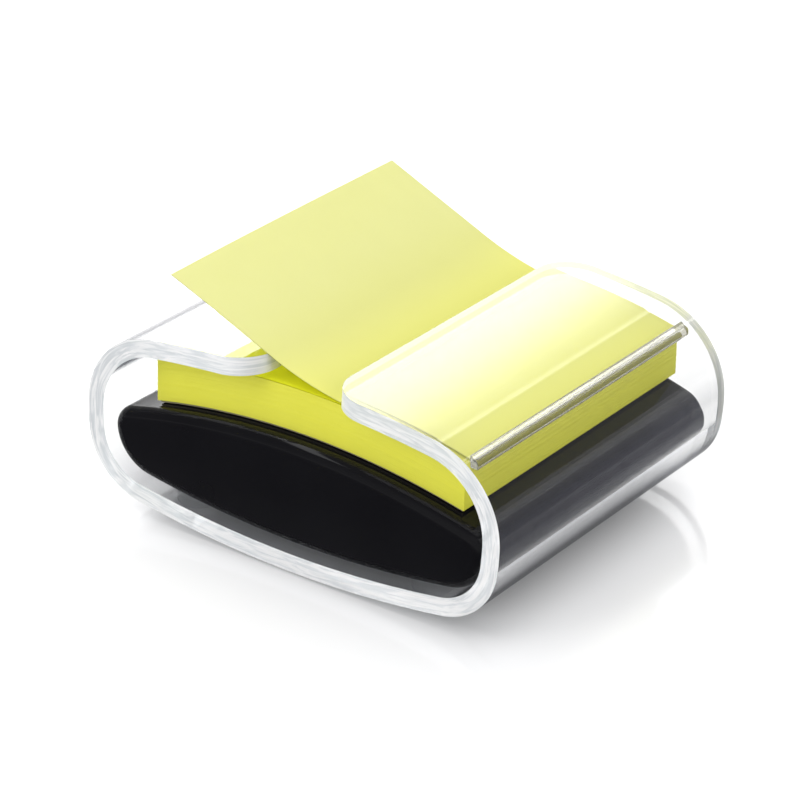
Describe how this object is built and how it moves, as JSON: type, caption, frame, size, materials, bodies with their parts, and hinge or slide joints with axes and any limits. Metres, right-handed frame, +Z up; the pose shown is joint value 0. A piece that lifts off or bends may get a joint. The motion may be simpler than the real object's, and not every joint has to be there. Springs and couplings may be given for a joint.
{
  "type": "sticky note dispenser",
  "caption": "Clear bent acrylic wrap round a weighted black base that carries an arched pad of pop-up notes; one note stands out of the slot along its roof.",
  "frame": {"origin": "on the surface that the feet stand on, under the middle of the wrap", "axes": "+X to the right across the wrap seen from its open front, +Y to the back, +Z up"},
  "size_m": [0.102, 0.084, 0.0548],
  "materials": {
    "clear_acrylic": "clear, polished on faces and edges",
    "clear_rubber": "clear soft gel",
    "black_gloss": "high gloss black",
    "black_matt": "plain moulded black",
    "screw_steel": "zinc plated",
    "ballast_iron": "as cast",
    "glide_felt": "short pile felt",
    "backing_card": "plain grey board",
    "note_paper": "uncoated yellow paper"
  },
  "bodies": {
    "wrap": {"clear_wrap": "clear_acrylic", "pad_stop_bar": "clear_acrylic", "foot_front_left": "clear_rubber", "foot_front_right": "clear_rubber", "foot_rear_left": "clear_rubber", "foot_rear_right": "clear_rubber"},
    "base": {"base_shell": "black_gloss", "base_floor_plate": "black_matt", "cover_screws": "screw_steel", "ballast_block": "ballast_iron", "base_glide_strip_left": "glide_felt", "base_glide_strip_right": "glide_felt"},
    "pad": {"pad_backing_card": "backing_card", "note_stack": "note_paper", "next_note": "note_paper", "popped_note_tail": "note_paper"},
    "note": {"popped_note": "note_paper"}
  },
  "joints": [
    {"name": "base_slide", "type": "slide", "parent": "wrap", "child": "base", "axis": [0, -1, 0], "range_m": [0, 0.08]},
    {"name": "pad_slide", "type": "slide", "parent": "base", "child": "pad", "axis": [0, -1, 0], "range_m": [0, 0.08]},
    {"name": "note_pull", "type": "slide", "parent": "pad", "child": "note", "axis": [-0.9115, 0, 0.4113], "range_m": [0, 0.03]}
  ]
}
